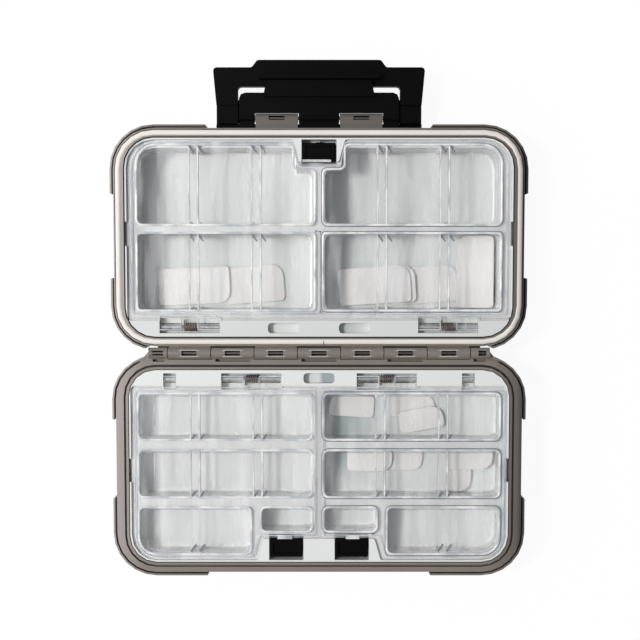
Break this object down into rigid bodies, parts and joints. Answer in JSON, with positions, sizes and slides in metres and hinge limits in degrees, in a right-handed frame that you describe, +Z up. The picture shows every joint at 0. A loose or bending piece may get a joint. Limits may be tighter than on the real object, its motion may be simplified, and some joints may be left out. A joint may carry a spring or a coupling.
{
  "type": "waterproof tackle box",
  "caption": "Two-sided waterproof tackle box opened flat, with divided trays under clear spring lids, sliding catch buttons, a rubber gasket and a front latch.",
  "frame": {"origin": "centre of the open box on the surface that it lies on", "axes": "+X along the main hinge, +Y from the base half to the lid half and its latch, +Z up"},
  "size_m": [0.2082, 0.2604, 0.0277],
  "materials": {
    "shell_plastic": "fine satin grain, warm grey",
    "gasket_rubber": "smooth off-white",
    "tray_plastic": "soft gloss, slightly translucent white",
    "clear_plastic": "clear and glossy",
    "divider_plastic": "frosted clear",
    "black_plastic": "satin black",
    "pin_steel": "drawn steel",
    "spring_steel": "drawn steel"
  },
  "bodies": {
    "base": {"base_shell": "shell_plastic", "hinge_pin": "pin_steel", "base_tray": "tray_plastic", "left_button_spring": "spring_steel", "right_button_spring": "spring_steel", "lower_left_lid_spring": "spring_steel", "lower_right_lid_spring": "spring_steel", "lower_left_spring_hinge_pin": "pin_steel", "lower_right_spring_hinge_pin": "pin_steel", "lower_left_plain_hinge_pin": "pin_steel", "lower_right_plain_hinge_pin": "pin_steel", "lower_spare_divider_1": "divider_plastic", "lower_spare_divider_2": "divider_plastic", "lower_spare_divider_3": "divider_plastic", "lower_spare_divider_4": "divider_plastic", "lower_spare_divider_5": "divider_plastic", "lower_spare_divider_6": "divider_plastic", "lower_spare_divider_7": "divider_plastic"},
    "lid": {"lid_shell": "shell_plastic", "gasket": "gasket_rubber", "lid_tray": "tray_plastic", "upper_button_spring": "spring_steel", "upper_left_lid_spring": "spring_steel", "upper_right_lid_spring": "spring_steel", "upper_left_spring_hinge_pin": "pin_steel", "upper_right_spring_hinge_pin": "pin_steel", "upper_spare_divider_1": "divider_plastic", "upper_spare_divider_2": "divider_plastic", "upper_spare_divider_3": "divider_plastic", "upper_spare_divider_4": "divider_plastic", "upper_spare_divider_5": "divider_plastic", "upper_spare_divider_6": "divider_plastic"},
    "upper_clear_lid": {"upper_clear_lid": "clear_plastic"},
    "left_clear_lid": {"left_clear_lid": "clear_plastic"},
    "right_clear_lid": {"right_clear_lid": "clear_plastic"},
    "upper_button": {"upper_catch_button": "black_plastic"},
    "left_button": {"left_catch_button": "black_plastic"},
    "right_button": {"right_catch_button": "black_plastic"},
    "latch_link": {"latch_link": "black_plastic", "latch_hinge_pin": "pin_steel"},
    "latch_lever": {"latch_lever": "black_plastic", "latch_lever_pin": "pin_steel"}
  },
  "joints": [
    {"name": "lid_hinge", "type": "hinge", "parent": "base", "child": "lid", "pos_m": [0, -0.01655, 0.025], "axis": [1, 0, 0], "range_deg": [0, 180]},
    {"name": "upper_clear_lid_hinge", "type": "hinge", "parent": "lid", "child": "upper_clear_lid", "pos_m": [0, -0.00365, 0.022], "axis": [-1, 0, 0], "range_deg": [-95, 0], "deforming": ["upper_left_lid_spring", "upper_right_lid_spring"]},
    {"name": "left_clear_lid_hinge", "type": "hinge", "parent": "base", "child": "left_clear_lid", "pos_m": [-0.0484, -0.02985, 0.022], "axis": [1, 0, 0], "range_deg": [-95, 0], "deforming": ["lower_left_lid_spring"]},
    {"name": "right_clear_lid_hinge", "type": "hinge", "parent": "base", "child": "right_clear_lid", "pos_m": [0.0484, -0.02985, 0.022], "axis": [1, 0, 0], "range_deg": [-95, 0], "deforming": ["lower_right_lid_spring"]},
    {"name": "upper_button_slide", "type": "slide", "parent": "lid", "child": "upper_button", "axis": [0, -1, 0], "range_m": [-0.0013, 0], "stiffness_N_per_m": 400, "springref_m": 0.001, "deforming": ["upper_button_spring"]},
    {"name": "left_button_slide", "type": "slide", "parent": "base", "child": "left_button", "axis": [0, 1, 0], "range_m": [-0.0013, 0], "stiffness_N_per_m": 400, "springref_m": 0.001, "deforming": ["left_button_spring"]},
    {"name": "right_button_slide", "type": "slide", "parent": "base", "child": "right_button", "axis": [0, 1, 0], "range_m": [-0.0013, 0], "stiffness_N_per_m": 400, "springref_m": 0.001, "deforming": ["right_button_spring"]},
    {"name": "latch_link_hinge", "type": "hinge", "parent": "lid", "child": "latch_link", "pos_m": [0, 0.10125, 0.015], "axis": [1, 0, 0], "range_deg": [0, 90]},
    {"name": "latch_lever_hinge", "type": "hinge", "parent": "latch_link", "child": "latch_lever", "pos_m": [0, 0.11525, 0.015], "axis": [1, 0, 0], "range_deg": [-35, 0]}
  ]
}
